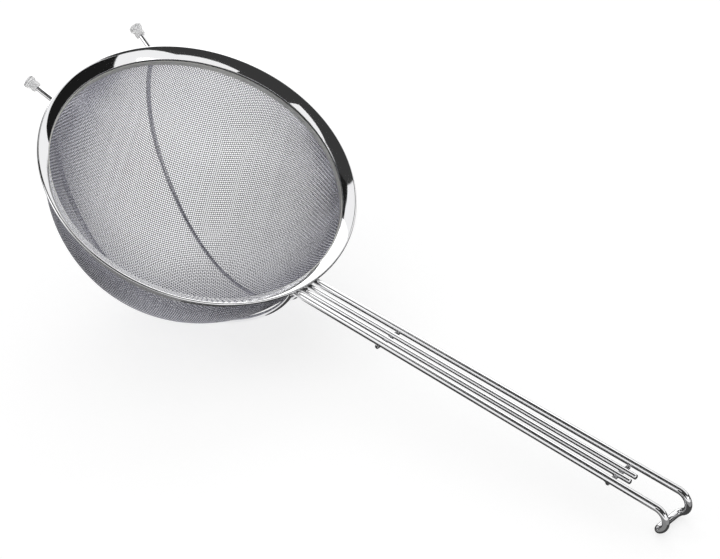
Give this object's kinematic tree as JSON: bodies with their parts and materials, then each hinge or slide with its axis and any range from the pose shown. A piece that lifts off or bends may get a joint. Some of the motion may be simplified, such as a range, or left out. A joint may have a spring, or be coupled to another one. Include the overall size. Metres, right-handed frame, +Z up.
{
  "type": "wire mesh strainer",
  "caption": "Fine wire-mesh strainer with a round bowl clamped in a polished steel rim, cradle wires with capped feet, and a long wire handle that ends in a hanging hook.",
  "frame": {"origin": "on the table under the middle of the whole strainer, as it rests on its bowl and its hook", "axes": "+X along the handle towards the hook, +Y towards the cradle wire that is named right, +Z up"},
  "size_m": [0.603, 0.26, 0.1921],
  "materials": {
    "polished_steel": "mirror-polished stainless steel",
    "satin_steel": "satin stainless steel",
    "woven_mesh": "fine woven stainless steel wire",
    "clear_cap": "clear, slightly frosted soft plastic"
  },
  "bodies": {
    "root": {"rim_ring": "polished_steel", "mesh_clamp_band": "satin_steel", "mesh_bowl": "woven_mesh", "cradle_wire_right": "polished_steel", "cradle_wire_left": "polished_steel", "foot_cap_right": "clear_cap", "foot_cap_left": "clear_cap", "handle_outer_wire": "polished_steel", "handle_inner_wire_right": "polished_steel", "handle_inner_wire_left": "polished_steel", "handle_cross_bar_front": "polished_steel", "handle_cross_bar_rear": "polished_steel"}
  },
  "joints": []
}
